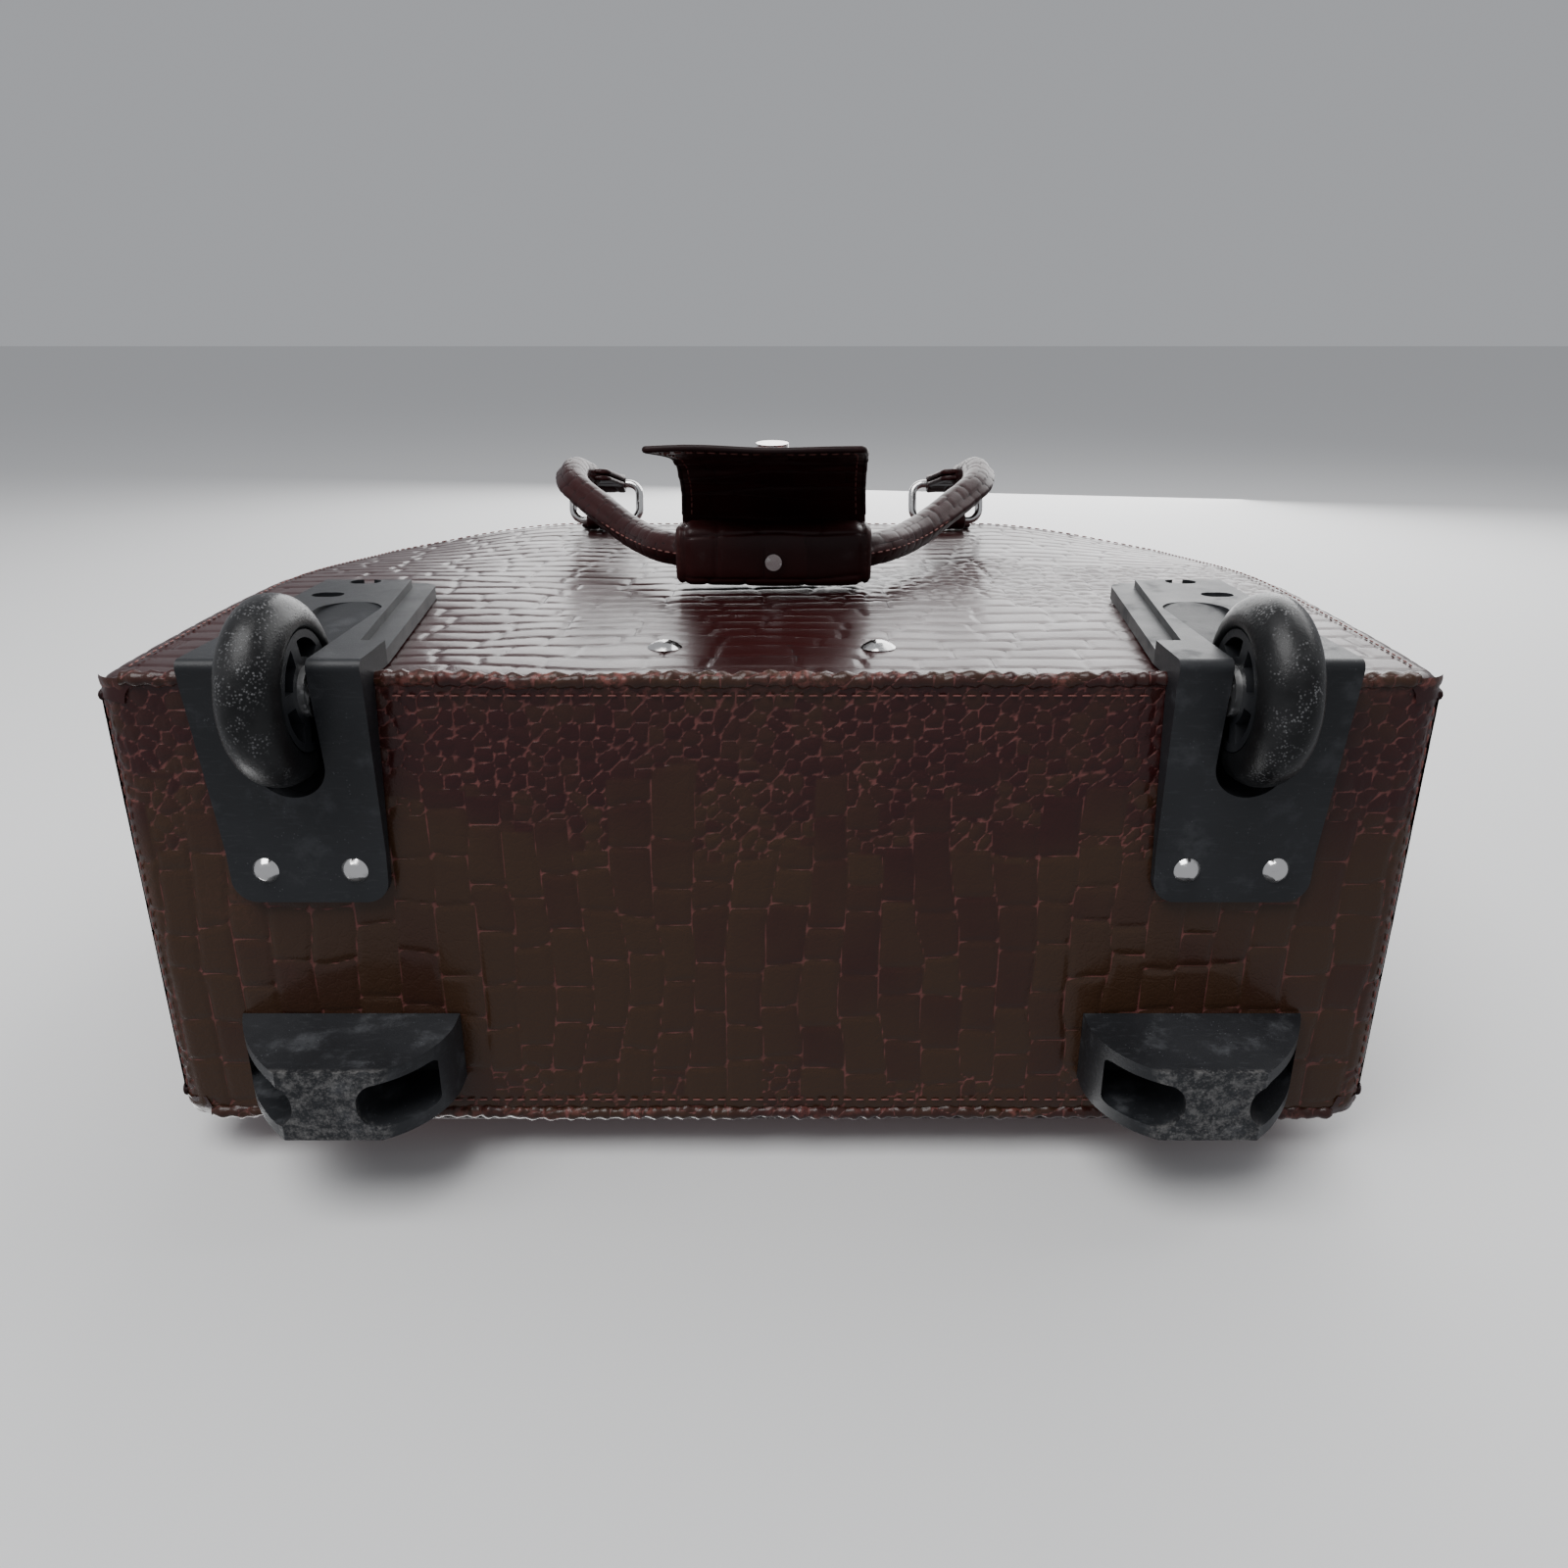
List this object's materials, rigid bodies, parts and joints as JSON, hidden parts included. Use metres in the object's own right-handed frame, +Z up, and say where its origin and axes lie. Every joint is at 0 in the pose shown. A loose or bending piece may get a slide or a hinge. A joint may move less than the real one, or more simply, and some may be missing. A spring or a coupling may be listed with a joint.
{
  "type": "rolling laptop case",
  "caption": "Upright rolling laptop case in crocodile-embossed leather with corner wheels, skid feet, telescopic handle, ringed carrying handles, zipped top and front pocket.",
  "frame": {"origin": "on the floor under the middle of the case's bounding box, at rest", "axes": "+Z up, +Y towards the wheeled back, -Y towards the pocketed front, +X to the right seen from the front"},
  "size_m": [0.441, 0.2736, 0.39],
  "materials": {
    "leather": "glossy crocodile-embossed oxblood leather",
    "leather_roll": "satin smooth oxblood leather",
    "board": "matt",
    "lining": "woven",
    "padding": "padded, woven",
    "black_plastic": "satin moulded, scuffed",
    "tyre": "smooth polyurethane, worn",
    "hub": "moulded",
    "steel": "ground",
    "chrome": "polished",
    "tube": "anodised, brushed",
    "zip": "antique nickel",
    "dark_metal": "black oxide"
  },
  "bodies": {
    "case": {"bottom_panel": "leather", "back_panel": "leather", "front_panel": "leather", "gusset_left": "leather", "gusset_right": "leather", "top_deck": "leather", "base_board": "board", "back_board": "board", "lining": "lining", "laptop_divider": "padding", "wheel_housing_left": "black_plastic", "wheel_housing_right": "black_plastic", "axles": "steel", "foot_left": "black_plastic", "foot_right": "black_plastic", "housing_rivets": "chrome", "foot_rivets": "chrome", "housing_screws": "dark_metal", "trolley_rivets": "chrome", "trolley_outer_tubes": "tube", "trolley_bracket": "black_plastic", "trolley_bezel": "black_plastic", "front_pocket": "leather", "pocket_zip_teeth": "zip", "zip_ends": "zip", "chapes_rear": "leather_roll", "chapes_front": "leather_roll"},
    "wheel_left": {"tyre_left": "tyre", "hub_left": "hub", "bearing_left": "steel"},
    "wheel_right": {"tyre_right": "tyre", "hub_right": "hub", "bearing_right": "steel"},
    "trolley_mid": {"trolley_mid_tubes": "tube"},
    "trolley_top": {"trolley_inner_tubes": "tube", "trolley_grip": "black_plastic"},
    "button": {"trolley_button": "hub"},
    "ring_pair_rear": {"rings_rear": "chrome"},
    "handle_rear": {"handle_tabs_rear": "leather_roll", "handle_roll_rear": "leather_roll", "wrap_band_rear": "leather_roll", "wrap_stud_rear": "chrome"},
    "flap_rear": {"wrap_flap_rear": "leather_roll", "wrap_socket_rear": "chrome"},
    "ring_pair_front": {"rings_front": "chrome"},
    "handle_front": {"handle_tabs_front": "leather_roll", "handle_roll_front": "leather_roll", "wrap_band_front": "leather_roll", "wrap_stud_front": "chrome"},
    "flap_front": {"wrap_flap_front": "leather_roll", "wrap_socket_front": "chrome"},
    "top_lid_rear": {"lid_rear": "leather", "zip_teeth_rear": "zip"},
    "top_lid_front": {"lid_front": "leather", "zip_teeth_front": "zip"},
    "main_slider": {"zip_slider": "zip"},
    "main_pull": {"zip_pull": "zip"},
    "pocket_slider_body": {"pocket_slider": "zip"},
    "pocket_pull_body": {"pocket_pull": "zip"}
  },
  "joints": [
    {"name": "wheel_left_spin", "type": "hinge", "parent": "case", "child": "wheel_left", "pos_m": [-0.152, 0.0711, 0.03], "axis": [1, 0, 0], "continuous": true},
    {"name": "wheel_right_spin", "type": "hinge", "parent": "case", "child": "wheel_right", "pos_m": [0.152, 0.0711, 0.03], "axis": [1, 0, 0], "continuous": true},
    {"name": "trolley_stage_one", "type": "slide", "parent": "case", "child": "trolley_mid", "axis": [0, 0, 1], "range_m": [0, 0.25]},
    {"name": "trolley_stage_two", "type": "slide", "parent": "trolley_mid", "child": "trolley_top", "axis": [0, 0, 1], "range_m": [0, 0.25]},
    {"name": "button_press", "type": "slide", "parent": "trolley_top", "child": "button", "axis": [0, 0, -1], "range_m": [0, 0.0035], "stiffness_N_per_m": 400},
    {"name": "rear_rings_swing", "type": "hinge", "parent": "case", "child": "ring_pair_rear", "pos_m": [0, 0.0796, 0.329], "axis": [1, 0, 0], "range_deg": [0, 55]},
    {"name": "rear_handle_swing", "type": "hinge", "parent": "ring_pair_rear", "child": "handle_rear", "pos_m": [0, 0.0981, 0.335], "axis": [1, 0, 0], "range_deg": [0, 100]},
    {"name": "rear_flap_open", "type": "hinge", "parent": "handle_rear", "child": "flap_rear", "pos_m": [0, 0.0993, 0.1908], "axis": [1, 0, 0], "range_deg": [-20, 40], "stiffness_Nm_per_rad": 0.1},
    {"name": "front_rings_swing", "type": "hinge", "parent": "case", "child": "ring_pair_front", "pos_m": [0, -0.0974, 0.329], "axis": [-1, 0, 0], "range_deg": [0, 55]},
    {"name": "front_handle_swing", "type": "hinge", "parent": "ring_pair_front", "child": "handle_front", "pos_m": [0, -0.1159, 0.335], "axis": [-1, 0, 0], "range_deg": [0, 100]},
    {"name": "front_flap_open", "type": "hinge", "parent": "handle_front", "child": "flap_front", "pos_m": [0, -0.1276, 0.1908], "axis": [-1, 0, 0], "range_deg": [0, 100]},
    {"name": "lid_rear_open", "type": "hinge", "parent": "case", "child": "top_lid_rear", "pos_m": [0, 0.03185, 0.36], "axis": [-1, 0, 0], "range_deg": [0, 90]},
    {"name": "lid_front_open", "type": "hinge", "parent": "case", "child": "top_lid_front", "pos_m": [0, -0.08365, 0.36], "axis": [1, 0, 0], "range_deg": [0, 90]},
    {"name": "main_zip", "type": "slide", "parent": "case", "child": "main_slider", "axis": [-1, 0, 0], "range_m": [0, 0.286]},
    {"name": "main_pull_flip", "type": "hinge", "parent": "main_slider", "child": "main_pull", "pos_m": [0.143, -0.0259, 0.3641], "axis": [0, 1, 0], "range_deg": [0, 180]},
    {"name": "pocket_zip", "type": "slide", "parent": "case", "child": "pocket_slider_body", "axis": [-1, 0, 0], "range_m": [0, 0.328]},
    {"name": "pocket_pull_flip", "type": "hinge", "parent": "pocket_slider_body", "child": "pocket_pull_body", "pos_m": [0.164, -0.106, 0.235], "axis": [0, 0, 1], "range_deg": [0, 180]}
  ]
}
